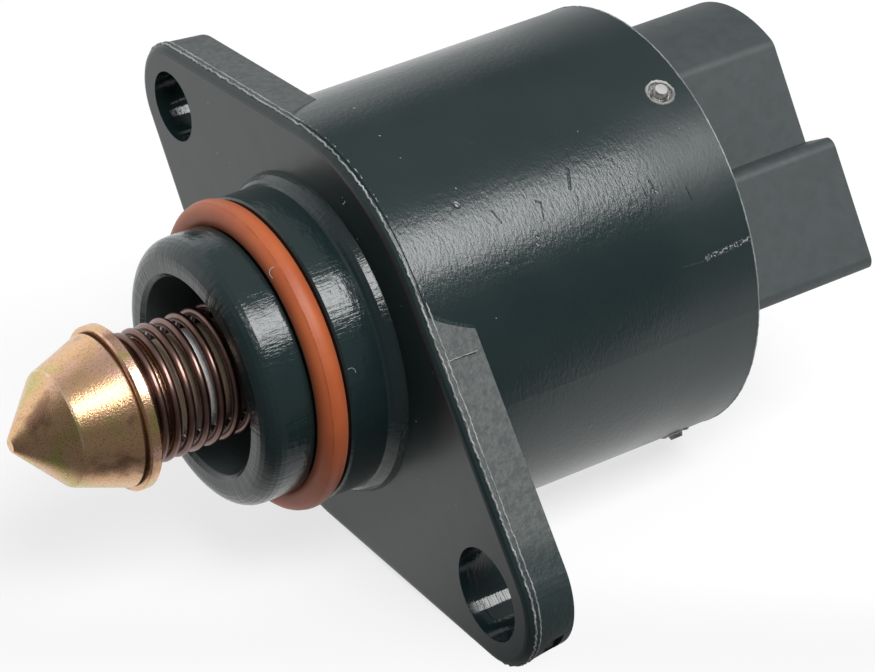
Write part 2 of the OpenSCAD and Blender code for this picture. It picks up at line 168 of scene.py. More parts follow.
# Finish colours that aren't left to the user
MOULDING_GREY = (0.0125, 0.0235, 0.0240, 1)
SCUFF_WHITE = (0.46, 0.46, 0.44, 1)
# Painted shade for the slits of the nicks
NICK_PAINTED_SHADE = (0.003, 0.005, 0.005, 1)
# Painted light: lighter grey for the wall of the nose's bore
NOSE_BORE_PAINTED_LIGHT = (0.075, 0.098, 0.098, 1)
SMEARED_METAL = (0.42, 0.41, 0.40, 1)
CHALK_GREY = (0.078, 0.086, 0.084, 1)
COVER_DUST = (0.4, 0.4, 0.38, 1)
SEAL_DUST = (0.8, 0.6, 0.5, 1)
SEAL_LINE_BROWN = (0.16, 0.03, 0.012, 1)
ZINC_ROSE = (0.88, 0.54, 0.40, 1)
ZINC_OLIVE = (0.62, 0.52, 0.19, 1)
ZINC_BROWN = (0.42, 0.24, 0.15, 1)
ZINC_SPECK = (0.20, 0.11, 0.06, 1)
ZINC_WORN = (0.90, 0.78, 0.60, 1)
GROOVE_BROWN = (0.16, 0.10, 0.055, 1)


class ValveSizes(bpy.types.PropertyGroup):
    """Sizes that a user may change."""

    spring_diameter: bpy.props.FloatProperty(
        name="Spring Diameter", description="Outer diameter of the pintle spring",
        default=0.0108, min=0.009, max=0.012, subtype="DISTANCE", unit="LENGTH")
    wire_diameter: bpy.props.FloatProperty(
        name="Wire Diameter", description="Diameter of the spring wire",
        default=0.00074, min=0.0004, max=0.0009, subtype="DISTANCE", unit="LENGTH")
    spring_turns: bpy.props.FloatProperty(
        name="Turns", description="Turns of the spring, with its closed one",
        default=12.496, min=6, max=16)
    spring_phase: bpy.props.FloatProperty(
        name="Spring Start", description="Where round the valve the wire starts",
        default=math.radians(178.6), subtype="ANGLE", unit="ROTATION")
    ring_cord: bpy.props.FloatProperty(
        name="Seal Cord", description="Thickness of the seal ring's cord",
        default=0.0024, min=0.002, max=0.0026, subtype="DISTANCE", unit="LENGTH")
    flash_height: bpy.props.FloatProperty(
        name="Flash Height", description="Height of the moulding flash on the edges",
        default=0.00007, min=0.0, max=0.0003, subtype="DISTANCE", unit="LENGTH")


class ValveColours(bpy.types.PropertyGroup):
    """Colours that a user may change."""

    moulding: bpy.props.FloatVectorProperty(
        name="Moulding", description="Housing plastic", subtype="COLOR", size=4,
        default=(0.0085, 0.0185, 0.0192, 1), min=0, max=1)
    connector: bpy.props.FloatVectorProperty(
        name="Connector", description="Connector plastic", subtype="COLOR", size=4,
        default=(0.042, 0.053, 0.054, 1), min=0, max=1)
    seal: bpy.props.FloatVectorProperty(
        name="Seal Ring", description="Rubber of the seal ring", subtype="COLOR", size=4,
        default=(0.41, 0.098, 0.030, 1), min=0, max=1)
    zinc: bpy.props.FloatVectorProperty(
        name="Yellow Zinc", description="Plating of the pintle", subtype="COLOR", size=4,
        default=(0.78, 0.485, 0.27, 1), min=0, max=1)
    wire: bpy.props.FloatVectorProperty(
        name="Spring Wire", description="Spring steel", subtype="COLOR", size=4,
        default=(0.225, 0.137, 0.117, 1), min=0, max=1)


class ValveStudio(bpy.types.PropertyGroup):
    """Light and floor that a user may change."""

    floor: bpy.props.FloatVectorProperty(
        name="Floor", description="Colour of the floor", subtype="COLOR", size=4,
        default=(0.90, 0.90, 0.90, 1), min=0, max=1)
    key_power: bpy.props.FloatProperty(
        name="Overhead Light", description="Power of the long soft light", default=4.6, min=0)
    fill_power: bpy.props.FloatProperty(
        name="Far Light", description="Power of the low light on the far side", default=0.35, min=0)
    glow: bpy.props.FloatProperty(
        name="Floor Glow", description="Share of the floor that shows as plain white", default=0.72,
        min=0, max=1)
    sky: bpy.props.FloatProperty(
        name="Room Light", description="Level of the room's light", default=1.0, min=0, max=2)


# Building node trees


def feed(tree, socket, value):
    """Put a value, or another node's output, into an input."""
    if isinstance(value, bpy.types.NodeSocket):
        tree.links.new(value, socket)
    else:
        socket.default_value = value


def add(tree, kind, settings=None, **inputs):
    """Add a node. Inputs go by name with _ for a space, or by number as i0, i1."""
    made = tree.nodes.new(kind)
    for key, value in (settings or {}).items():
        setattr(made, key, value)
    for key, value in inputs.items():
        if key[0] == "i" and key[1:].isdigit():
            socket = made.inputs[int(key[1:])]
        else:
            socket = made.inputs[key.replace("_", " ")]
        feed(tree, socket, value)
    return made


def maths(tree, operation, *values, clamp=False):
    """One step of arithmetic on numbers or sockets."""
    made = add(tree, "ShaderNodeMath", {"operation": operation, "use_clamp": clamp})
    for socket, value in zip(made.inputs, values):
        feed(tree, socket, value)
    return made.outputs[0]


def total(tree, *values):
    """Sum of several numbers or sockets."""
    result = values[0]
    for value in values[1:]:
        result = maths(tree, "ADD", result, value)
    return result


def less(tree, first, second):
    """The first number less the second."""
    return maths(tree, "SUBTRACT", first, second)


def times(tree, *values):
    """Product of several numbers or sockets."""
    result = values[0]
    for value in values[1:]:
        result = maths(tree, "MULTIPLY", result, value)
    return result


def onto(tree, base, value, share):
    """A base with a share of a value on top."""
    return maths(tree, "MULTIPLY_ADD", value, share, base)


def below(tree, value, limit):
    """1 where a value is below a limit, and 0 elsewhere."""
    return maths(tree, "LESS_THAN", value, limit)


def above(tree, value, limit):
    """1 where a value is above a limit, and 0 elsewhere."""
    return maths(tree, "GREATER_THAN", value, limit)


def inside(tree, value, limits):
    """1 where a value is between two limits, and 0 elsewhere."""
    return times(tree, above(tree, value, limits[0]), below(tree, value, limits[1]))


def vectors(tree, operation, *values):
    """One step of vector arithmetic. The output is a number for lengths and products."""
    made = add(tree, "ShaderNodeVectorMath", {"operation": operation})
    for socket, value in zip(made.inputs, values):
        feed(tree, socket, value)
    if operation == "SCALE":
        feed(tree, made.inputs["Scale"], values[1])
    gives_number = operation in ("LENGTH", "DISTANCE", "DOT_PRODUCT")
    return made.outputs["Value" if gives_number else "Vector"]


def ramp(tree, value, low, high, to_low=0.0, to_high=1.0):
    """Smooth step from low to high."""
    made = add(tree, "ShaderNodeMapRange", {"interpolation_type": "SMOOTHSTEP"})
    for socket, number in zip(made.inputs[:5], (value, low, high, to_low, to_high)):
        feed(tree, socket, number)
    return made.outputs[0]


def blend(tree, share, first, second):
    """Mix two colours."""
    made = add(tree, "ShaderNodeMix", {"data_type": "RGBA"})
    feed(tree, made.inputs[0], share)
    feed(tree, made.inputs[6], first)
    feed(tree, made.inputs[7], second)
    return made.outputs[2]


def noise(tree, place, scale, detail=2.0, roughness=0.5):
    """Noise value at a place."""
    made = add(tree, "ShaderNodeTexNoise", Vector=place, Scale=scale,
               Detail=detail, Roughness=roughness)
    return made.outputs[0]


def grain_scale(tree, size):
    """Noise scale that gives features of a size."""
    return maths(tree, "DIVIDE", 1.0, size)


def from_axis(tree, parts):
    """Distance from the valve's axis, from the three parts of a place."""
    squares = total(tree, times(tree, parts[1], parts[1]), times(tree, parts[2], parts[2]))
    return maths(tree, "SQRT", squares)


def new_group(name, kind, inputs, outputs):
    """Start a node group with named inputs and outputs."""
    tree = bpy.data.node_groups.new(name, kind)
    for label, socket, default in inputs:
        made = tree.interface.new_socket(name=label, in_out="INPUT", socket_type=socket)
        if default is not None:
            made.default_value = default
    for label, socket in outputs:
        tree.interface.new_socket(name=label, in_out="OUTPUT", socket_type=socket)
    start = tree.nodes.new("NodeGroupInput")
    end = tree.nodes.new("NodeGroupOutput")
    return tree, start.outputs, end.inputs


NUMBER = "NodeSocketFloat"
VECTOR = "NodeSocketVector"
COLOUR = "NodeSocketColor"
GEOMETRY = "NodeSocketGeometry"
MATERIAL = "NodeSocketMaterial"


# Shared surface effects


def make_axis_group():
    """Place on the valve as mm along it, angle round it and mm from its axis."""
    tree, given, out = new_group(
        "round the valve", "ShaderNodeTree", [("Position", VECTOR, None)],
        [("Along", NUMBER), ("Angle", NUMBER), ("Radius", NUMBER)])
    parts = add(tree, "ShaderNodeSeparateXYZ", i0=given["Position"]).outputs
    feed(tree, out["Along"], times(tree, parts[0], 1 / MM))
    feed(tree, out["Angle"], maths(tree, "ARCTAN2", parts[2], parts[1]))
    feed(tree, out["Radius"], times(tree, from_axis(tree, parts), 1 / MM))
    return tree


def make_skin_group():
    """Moulded skin: fine grain over long soft waves."""
    tree, given, out = new_group(
        "moulded skin", "ShaderNodeTree",
        [("Position", VECTOR, None), ("Grain Size", NUMBER, 0.0003), ("Grain Depth", NUMBER, 2e-6),
         ("Wave Size", NUMBER, 0.003), ("Wave Depth", NUMBER, 1e-5)],
        [("Height", NUMBER), ("Mottle", NUMBER)])
    grain = noise(tree, given["Position"], grain_scale(tree, given["Grain Size"]), 3.0, 0.55)
    wave = noise(tree, given["Position"], grain_scale(tree, given["Wave Size"]), 1.0, 0.4)
    fine = times(tree, grain, given["Grain Depth"])
    feed(tree, out["Height"], onto(tree, fine, wave, given["Wave Depth"]))
    feed(tree, out["Mottle"], onto(tree, times(tree, grain, 0.5), wave, 0.5))
    return tree


def make_nick_group():
    """A short nick from one place to another, with a raised lip. A negative depth makes a grain."""
    tree, given, out = new_group(
        "nick", "ShaderNodeTree",
        [("Place", VECTOR, None), ("Start", VECTOR, (0, 0, 0)), ("End", VECTOR, (1, 0, 0)),
         ("Width", NUMBER, 0.1), ("Depth", NUMBER, 2e-5)],
        [("Height", NUMBER), ("Mask", NUMBER)])
    run = vectors(tree, "SUBTRACT", given["End"], given["Start"])
    offset = vectors(tree, "SUBTRACT", given["Place"], given["Start"])
    share = maths(tree, "DIVIDE", vectors(tree, "DOT_PRODUCT", offset, run),
                  vectors(tree, "DOT_PRODUCT", run, run), clamp=True)
    away = vectors(tree, "LENGTH", vectors(tree, "SUBTRACT", offset, vectors(tree, "SCALE", run, share)))
    width = given["Width"]
    lip_rise = 0.45
    cut = ramp(tree, away, times(tree, width, 0.3), width, 1.0, 0.0)
    lip = ramp(tree, away, width, times(tree, width, 2.4), 1.0, 0.0)
    height = less(tree, times(tree, lip, lip_rise), times(tree, cut, 1 + lip_rise))
    feed(tree, out["Height"], times(tree, height, given["Depth"]))
    feed(tree, out["Mask"], cut)
    return tree


def make_dust_group():
    """Mask of small specks, at most one to a cell, in a share of the cells."""
    tree, given, out = new_group(
        "dust", "ShaderNodeTree",
        [("Position", VECTOR, None), ("Spacing", NUMBER, 0.0012), ("Size", NUMBER, 0.06),
         ("Amount", NUMBER, 0.2)],
        [("Mask", NUMBER)])
    cells = add(tree, "ShaderNodeTexVoronoi", Vector=given["Position"],
                Scale=grain_scale(tree, given["Spacing"])).outputs
    pick = add(tree, "ShaderNodeSeparateColor", i0=cells["Color"]).outputs
    size = times(tree, given["Size"], total(tree, 0.5, pick[1]))
    spot = ramp(tree, cells["Distance"], times(tree, size, 0.6), size, 1.0, 0.0)
    feed(tree, out["Mask"], times(tree, spot, below(tree, pick[0], given["Amount"])))
    return tree


def make_rings_group():
    """Fine turned rings round the valve's axis."""
    tree, given, out = new_group(
        "turned rings", "ShaderNodeTree",
        [("Position", VECTOR, None), ("Pitch", NUMBER, 0.0001), ("Depth", NUMBER, 1e-6)],
        [("Height", NUMBER), ("Tone", NUMBER)])
    parts = add(tree, "ShaderNodeSeparateXYZ", i0=given["Position"]).outputs
    lane = add(tree, "ShaderNodeCombineXYZ",
               i0=maths(tree, "DIVIDE", parts[0], given["Pitch"])).outputs[0]
    tone = noise(tree, lane, 1.0, 2.0, 0.6)
    feed(tree, out["Height"], times(tree, tone, given["Depth"]))
    feed(tree, out["Tone"], tone)
    return tree


def make_drift_group():
    """A colour that drifts softly towards another."""
    tree, given, out = new_group(
        "colour drift", "ShaderNodeTree",
        [("Position", VECTOR, None), ("Base", COLOUR, (0.5, 0.5, 0.5, 1)),
         ("Other", COLOUR, (0.4, 0.4, 0.4, 1)), ("Size", NUMBER, 0.004), ("Amount", NUMBER, 0.5)],
        [("Color", COLOUR)])
    patch = noise(tree, given["Position"], grain_scale(tree, given["Size"]), 3.0, 0.6)
    share = times(tree, ramp(tree, patch, 0.35, 0.68), given["Amount"])
    feed(tree, out["Color"], blend(tree, share, given["Base"], given["Other"]))
    return tree


def make_zinc_group():
    """Yellow zinc film: gold drifting to tan, olive and brown, with fine crystals."""
    tree, given, out = new_group(
        "zinc film", "ShaderNodeTree",
        [("Position", VECTOR, None), ("Gold", COLOUR, (0.7, 0.5, 0.2, 1)), ("Crystal", NUMBER, 0.00016)],
        [("Color", COLOUR), ("Roughness", NUMBER), ("Height", NUMBER)])
    place = given["Position"]
    broad = noise(tree, place, 190.0, 2.0, 0.5)
    other = noise(tree, vectors(tree, "ADD", place, (0.02, 0.01, 0.03)), 260.0, 3.0, 0.6)
    speck = noise(tree, place, grain_scale(tree, given["Crystal"]), 2.0, 0.7)
    colour = blend(tree, ramp(tree, broad, 0.5, 0.66), given["Gold"], ZINC_ROSE)
    colour = blend(tree, ramp(tree, other, 0.52, 0.7), colour, ZINC_OLIVE)
    colour = blend(tree, ramp(tree, other, 0.46, 0.30), colour, ZINC_BROWN)
    colour = blend(tree, times(tree, ramp(tree, speck, 0.5, 0.72), 0.55), colour, ZINC_SPECK)
    feed(tree, out["Color"], colour)
    feed(tree, out["Roughness"], onto(tree, 0.16, speck, 0.2))
    feed(tree, out["Height"], times(tree, speck, 1.9e-5))
    return tree


EFFECTS = {}


def make_effects():
    """Build each shared effect once."""
    EFFECTS.update(
        axis=make_axis_group(), skin=make_skin_group(), nick=make_nick_group(),
        dust=make_dust_group(), rings=make_rings_group(), drift=make_drift_group(),
        zinc=make_zinc_group())


def effect(tree, name, **inputs):
    """Place a shared effect in a material."""
    made = tree.nodes.new("ShaderNodeGroup")
    made.node_tree = EFFECTS[name]
    for key, value in inputs.items():
        feed(tree, made.inputs[key.replace("_", " ")], value)
    return made.outputs


def new_material(name, **plain):
    """A material with its shader. Plain values go straight on the shader's sockets."""
    made = bpy.data.materials.new(name)
    made.use_nodes = True
    tree = made.node_tree
    tree.nodes.clear()
    shader = tree.nodes.new("ShaderNodeBsdfPrincipled")
    end = tree.nodes.new("ShaderNodeOutputMaterial")
    tree.links.new(shader.outputs[0], end.inputs["Surface"])
    for key, value in plain.items():
        shader.inputs[key.replace("_", " ")].default_value = value
    place = tree.nodes.new("ShaderNodeTexCoord").outputs["Object"]
    return made, tree, shader.inputs, place


def bump(tree, shader, height):
    """Height in metres into the shader's normal."""
    made = add(tree, "ShaderNodeBump", Strength=1.0, Distance=1.0, Height=height)
    feed(tree, shader["Normal"], made.outputs[0])


# Materials


def darker(colour, share):
    """A share of a colour."""
    return tuple(share * part for part in colour[:3]) + (1,)


def on_body(along, turn):
    """Place on the unrolled motor body, from mm along it and degrees round it."""
    return along, math.radians(turn) * BODY_RADIUS, 0


def body_relief(tree, unrolled, body, rear):
    """Short streaks that run round the body over a soft orange peel, fading to the rear."""
    streak = noise(tree, vectors(tree, "MULTIPLY", unrolled, (3.4, 1.45, 0.0)), 1.25, 3.0, 0.6)
    peel = noise(tree, unrolled, 1.9, 2.0, 0.5)
    pores = noise(tree, unrolled, 7.0, 2.0, 0.6)
    height = total(tree, times(tree, streak, 2.3e-5), times(tree, peel, 1.3e-5), times(tree, pores, 6e-6))
    return times(tree, height, onto(tree, body, rear, -0.55))


def nose_relief(tree, unrolled, nose):
    """Flow lines and long waves in the gloss of the nose and the boss."""
    flow = noise(tree, vectors(tree, "MULTIPLY", unrolled, (0.55, 2.2, 0.0)), 0.9, 3.0, 0.65)
    ripple = noise(tree, vectors(tree, "MULTIPLY", unrolled, (2.0, 0.7, 0.0)), 0.8, 2.0, 0.5)
    return times(tree, nose, total(tree, times(tree, flow, 3.4e-5), times(tree, ripple, 3.6e-5)))


def add_marks(tree, unrolled, body, height):
    """Add the body's nicks and grains to a height, one by one, and collect the masks of both."""
    nicked, grained = 0.0, 0.0
    for start, end, width in BODY_NICKS:
        nick = effect(tree, "nick", Place=unrolled, Width=width, Depth=width * NICK_DEPTH,
                      Start=on_body(*start), End=on_body(*end))
        height = total(tree, height, times(tree, nick["Height"], body))
        nicked = total(tree, nicked, times(tree, nick["Mask"], body))
    for along, turn, size in BODY_GRAINS:
        start = on_body(along, turn)
        end = (along - size * 0.5, start[1] - size, 0)
        grain = effect(tree, "nick", Place=unrolled, Width=size * 0.8,
                       Depth=-size * GRAIN_HEIGHT, Start=start, End=end)
        height = total(tree, height, times(tree, grain["Height"], body))
        grained = total(tree, grained, times(tree, grain["Mask"], body))
    return height, nicked, grained


def screw_hole_walls(tree, place, along):
    """Mask of the walls of the two screw holes."""
    flat = vectors(tree, "MULTIPLY", place, (0.0, 1.0, 1.0))
    holes = []
    for across, radius in SCREW_HOLES:
        centre_y, centre_z = turn_to_flange(across, 0.0)
        reach = vectors(tree, "DISTANCE", flat, (0.0, centre_y * MM, centre_z * MM))
        holes.append(below(tree, reach, radius * MM))
    return times(tree, total(tree, *holes), below(tree, along, -FACE_CLEARANCE))


def pin_smears(tree, place):
    """Mask of the metal that is smeared into the craters of the cover pins."""
    craters = []
    for turn, pin_x in PINS:
        out_y, out_z = outward_at(turn)
        centre = (pin_x * MM, BODY_RADIUS * MM * out_y, BODY_RADIUS * MM * out_z)
        craters.append(below(tree, vectors(tree, "DISTANCE", place, centre), CRATER_RADIUS * MM))
    patchy = ramp(tree, noise(tree, place, 1700.0, 3.0, 0.7), 0.36, 0.56, 0.0, 0.85)
    return times(tree, total(tree, *craters), patchy)


def glossy_moulding(colours):
    """Housing: satin flange, streaky body and a glossy wavy nose."""
    made, tree, shader, place = new_material("glossy black moulding", IOR=1.5)
    where = effect(tree, "axis", Position=place)
    along, radius = where["Along"], where["Radius"]
    arc = times(tree, where["Angle"], BODY_RADIUS)
    unrolled = add(tree, "ShaderNodeCombineXYZ", i0=along, i1=arc, i2=0.0).outputs[0]
    skin = effect(tree, "skin", Position=place, Grain_Size=0.00035, Grain_Depth=2e-6,
                  Wave_Size=0.0028, Wave_Depth=2.2e-5)
    dust = effect(tree, "dust", Position=place, Spacing=0.0016, Size=0.05, Amount=0.10)

    # Regions of the housing
    body = times(tree, below(tree, along, BODY_FRONT_X), above(tree, radius, BODY_SKIN_RADIUS))
    rear = times(tree, ramp(tree, along, *REAR_FADE), body)
    nose = above(tree, along, FACE_CLEARANCE)
    nose_bore = times(tree, nose, below(tree, radius, NOSE_BORE_RADIUS))
    hole = screw_hole_walls(tree, place, along)
    flange_side = times(tree, inside(tree, along, FLANGE_SIDE), above(tree, radius, FLANGE_SIDE_RADIUS),
                        less(tree, 1.0, hole))

    # The marks are summed as they are made, because a shader holds few values at one time
    height = total(tree, body_relief(tree, unrolled, body, rear), nose_relief(tree, unrolled, nose),
                   skin["Height"])
    height, nicked, grained = add_marks(tree, unrolled, body, height)
    pebble = times(tree, noise(tree, place, 1500.0, 3.0, 0.6), 7e-5)
    height = total(tree, height, times(tree, pebble, flange_side))
    bump(tree, shader, height)

    # Scuff, grains and dust are pale, and the nicks are painted darker, as shade in their slits
    scuff = effect(tree, "nick", Place=unrolled, Width=0.30,
                   Start=on_body(*SCUFF[0]), End=on_body(*SCUFF[1]))
    broken = ramp(tree, noise(tree, unrolled, 5.0, 3.0, 0.7), 0.5, 0.62)
    pale = times(tree, scuff["Mask"], broken, body)
    pale = maths(tree, "MAXIMUM", pale, grained)
    pale = maths(tree, "MINIMUM", maths(tree, "MAXIMUM", pale, dust["Mask"]), 1.0)
    dark = maths(tree, "MINIMUM", nicked, 1.0)
    # Painted shade: the side's chalk grey fades out at the flange's end, leaving that end darker
    chalk_and_end_shade = ramp(tree, noise(tree, place, 1900.0, 3.0, 0.7), 0.38, 0.6, 0.62, 1.0)
    chalk_and_end_shade = times(tree, chalk_and_end_shade, ramp(tree, radius, *END_SHADE_FADE, 1.0, 0.0), flange_side)
    tone = effect(tree, "drift", Position=place, Base=tuple(colours.moulding), Other=MOULDING_GREY,
                  Size=0.009, Amount=0.6)
    colour = blend(tree, times(tree, pale, 0.7), tone["Color"], SCUFF_WHITE)
    colour = blend(tree, times(tree, dark, 0.7), colour, NICK_PAINTED_SHADE)
    # Painted light: the nose's bore is painted a lighter grey than the moulding, for the light seen on its
    # wall
    colour = blend(tree, times(tree, nose_bore, 0.9), colour, NOSE_BORE_PAINTED_LIGHT)
    colour = blend(tree, pin_smears(tree, place), colour, SMEARED_METAL)
    colour = blend(tree, chalk_and_end_shade, colour, CHALK_GREY)
    feed(tree, shader["Base Color"], colour)

    # The flange's side and the nose's bore are matt, and the holes' walls shine
    rough = 0.29
    for region, change in (
            (nose, -0.16), (nose_bore, 0.35), (flange_side, 0.30), (hole, -0.17), (body, -0.10),
            (skin["Mottle"], 0.06), (rear, 0.13), (pale, 0.3)):
        rough = onto(tree, rough, region, change)
    feed(tree, shader["Roughness"], rough)
    return made


def textured_moulding(colours):
    """Connector: matt plastic with a spark-eroded texture."""
    made, tree, shader, place = new_material("matt textured moulding", IOR=1.5)
    skin = effect(tree, "skin", Position=place, Grain_Size=0.00042, Grain_Depth=1.6e-5,
                  Wave_Size=0.0016, Wave_Depth=2.2e-5)
    base = tuple(colours.connector)
    tone = effect(tree, "drift", Position=place, Base=base, Other=darker(base, 0.72),
                  Size=0.0012, Amount=0.55)
    dust = effect(tree, "dust", Position=place, Spacing=0.0022, Size=0.05, Amount=0.06)
    colour = blend(tree, times(tree, dust["Mask"], 0.5), tone["Color"], COVER_DUST)
    feed(tree, shader["Base Color"], colour)
    feed(tree, shader["Roughness"], onto(tree, 0.46, skin["Mottle"], 0.18))
    bump(tree, shader, skin["Height"])
    return made


def seal_rubber(colours):
    """Rust-red rubber with a faint bloom and fine dust."""
    made, tree, shader, place = new_material("rust red rubber", IOR=1.42, Sheen_Weight=0.05)
    base = tuple(colours.seal)
    browner = (base[0] * 0.78, base[1] * 0.66, base[2] * 0.6, 1)
    tone = effect(tree, "drift", Position=place, Base=base, Other=browner, Size=0.006, Amount=0.6)
    skin = effect(tree, "skin", Position=place, Grain_Size=0.00018, Grain_Depth=3e-6,
                  Wave_Size=0.002, Wave_Depth=6e-6)
    dust = effect(tree, "dust", Position=place, Spacing=0.0013, Size=0.05, Amount=0.06)
    # Thin dark line where the ring's mould closed
    where = effect(tree, "axis", Position=place)
    outward = less(tree, where["Radius"], GROOVE_RING_RADIUS)
    forward = less(tree, where["Along"], GROOVE_RING_X)
    turn = less(tree, maths(tree, "ARCTAN2", forward, outward), SEAL_LINE_ANGLE)
    line = ramp(tree, maths(tree, "ABSOLUTE", turn), 0.02, 0.06, 0.55, 0.0)
    line = times(tree, line, ramp(tree, skin["Mottle"], 0.42, 0.55))
    colour = blend(tree, line, tone["Color"], SEAL_LINE_BROWN)
    colour = blend(tree, times(tree, dust["Mask"], 0.5), colour, SEAL_DUST)
    feed(tree, shader["Base Color"], colour)
    feed(tree, shader["Roughness"], onto(tree, 0.40, skin["Mottle"], 0.16))
    bump(tree, shader, skin["Height"])
    return made


def yellow_zinc(colours):
    """Passivated zinc on a turned pintle."""
    made, tree, shader, place = new_material("yellow passivated zinc", Metallic=1.0)
    film = effect(tree, "zinc", Position=place, Gold=tuple(colours.zinc))
    rings = effect(tree, "rings", Position=place, Pitch=0.00009, Depth=1.6e-6)
    where = effect(tree, "axis", Position=place)
    along = where["Along"]
    # Darker in the narrow groove before the collar, and darkest at its spring side
    groove = times(tree, inside(tree, along, COLLAR_GROOVE),
                   ramp(tree, along, *COLLAR_GROOVE_FADE, 1.0, 0.35),
                   below(tree, where["Radius"], COLLAR_GROOVE_RADIUS))
    # Film worn thin and pale on the break between the two cones
    worn = maths(tree, "ABSOLUTE", less(tree, along, CONE_BREAK_X))
    worn = times(tree, ramp(tree, worn, 0.02, 0.12, 0.6, 0.0),
                 ramp(tree, noise(tree, place, 900.0, 3.0, 0.6), 0.35, 0.6))
    colour = blend(tree, worn, film["Color"], ZINC_WORN)
    colour = blend(tree, times(tree, groove, 0.9), colour, GROOVE_BROWN)
    feed(tree, shader["Base Color"], colour)
    feed(tree, shader["Roughness"], onto(tree, film["Roughness"], groove, 0.25))
    bump(tree, shader, total(tree, film["Height"], rings["Height"]))
    return made


def plain_metal(name, colour, roughness, pitch=0.00012, depth=1e-6, other=None):
    """Turned, drawn or pressed metal in one colour."""
    made, tree, shader, place = new_material(name, Metallic=1.0)
    tone = effect(tree, "drift", Position=place, Base=colour, Other=other or darker(colour, 0.7),
                  Size=0.0018, Amount=0.7)
    rings = effect(tree, "rings", Position=place, Pitch=pitch, Depth=depth)
    feed(tree, shader["Base Color"], tone["Color"])
    feed(tree, shader["Roughness"], onto(tree, roughness, rings["Tone"], 0.12))
    bump(tree, shader, rings["Height"])
    return made


def plain_plastic(name, colour, roughness, grain=2e-6, other=None):
    """Small moulding in one colour."""
    made, tree, shader, place = new_material(name, IOR=1.46)
    tone = effect(tree, "drift", Position=place, Base=colour, Other=other or darker(colour, 0.75),
                  Size=0.002, Amount=0.6)
    skin = effect(tree, "skin", Position=place, Grain_Size=0.0002, Grain_Depth=grain,
                  Wave_Size=0.002, Wave_Depth=6e-6)
    feed(tree, shader["Base Color"], tone["Color"])
    feed(tree, shader["Roughness"], onto(tree, roughness, skin["Mottle"], 0.12))
    bump(tree, shader, skin["Height"])
    return made


# Geometry trees


def make_spring_tree():
    """A left-hand wire on the valve's axis: one closed turn at its foot, easing shut at its end."""
    tree, given, out = new_group(
        "coil spring", "GeometryNodeTree",
        [("Turns", NUMBER, 12.5), ("Closed Turns", NUMBER, 1.0), ("Ease Turns", NUMBER, 1.2),
         ("Ease", NUMBER, 0.001), ("Start X", NUMBER, 0.0), ("End X", NUMBER, 0.016),
         ("Mean Radius", NUMBER, 0.005), ("Wire Radius", NUMBER, 0.0003), ("Phase", NUMBER, 0.0),
         ("Material", MATERIAL, None)],
        [("Geometry", GEOMETRY)])
    steps_per_turn = 56.0
    line = add(tree, "GeometryNodeCurvePrimitiveLine", End=(1, 0, 0))
    wire = add(tree, "GeometryNodeResampleCurve", Curve=line.outputs[0],
               Count=times(tree, given["Turns"], steps_per_turn))
    factor = add(tree, "GeometryNodeSplineParameter").outputs["Factor"]
    turn = times(tree, factor, given["Turns"])
    closed = given["Closed Turns"]
    # A closed turn's pitch is just over the wire's diameter
    tight = times(tree, given["Wire Radius"], 2.04)
    span = less(tree, less(tree, given["End X"], given["Start X"]), times(tree, closed, tight))
    pitch = maths(tree, "DIVIDE", total(tree, span, given["Ease"]), less(tree, given["Turns"], closed))
    first = times(tree, maths(tree, "MINIMUM", turn, closed), tight)
    middle = times(tree, maths(tree, "MAXIMUM", less(tree, turn, closed), 0.0), pitch)
    left = maths(tree, "DIVIDE", less(tree, turn, given["Turns"]), given["Ease Turns"])
    eased = times(tree, maths(tree, "EXPONENT", left), given["Ease"])
    along = total(tree, given["Start X"], first, less(tree, middle, eased))
    angle = onto(tree, given["Phase"], turn, -2 * math.pi)
    place = add(tree, "ShaderNodeCombineXYZ", i0=along,
                i1=times(tree, maths(tree, "COSINE", angle), given["Mean Radius"]),
                i2=times(tree, maths(tree, "SINE", angle), given["Mean Radius"]))
    wound = add(tree, "GeometryNodeSetPosition", Geometry=wire.outputs[0], Position=place.outputs[0])
    section = add(tree, "GeometryNodeCurvePrimitiveCircle", Resolution=14, Radius=given["Wire Radius"])
    finish_tube(tree, wound.outputs[0], section.outputs[0], given["Material"], out)
    return tree


def finish_tube(tree, path, section, material, out, after=None):
    """Sweep a section along a path, smooth it and give it its material."""
    tube = add(tree, "GeometryNodeCurveToMesh", Curve=path, Fill_Caps=True)
    feed(tree, tube.inputs["Profile Curve"], section)
    shape = tube.outputs[0]
    if after:
        shape = after(shape)
    smooth = add(tree, "GeometryNodeSetShadeSmooth", i0=shape)
    plain = add(tree, "GeometryNodeRealizeInstances", i0=smooth.outputs[0])
    done = add(tree, "GeometryNodeSetMaterial", Geometry=plain.outputs[0], Material=material)
    feed(tree, out["Geometry"], done.outputs[0])


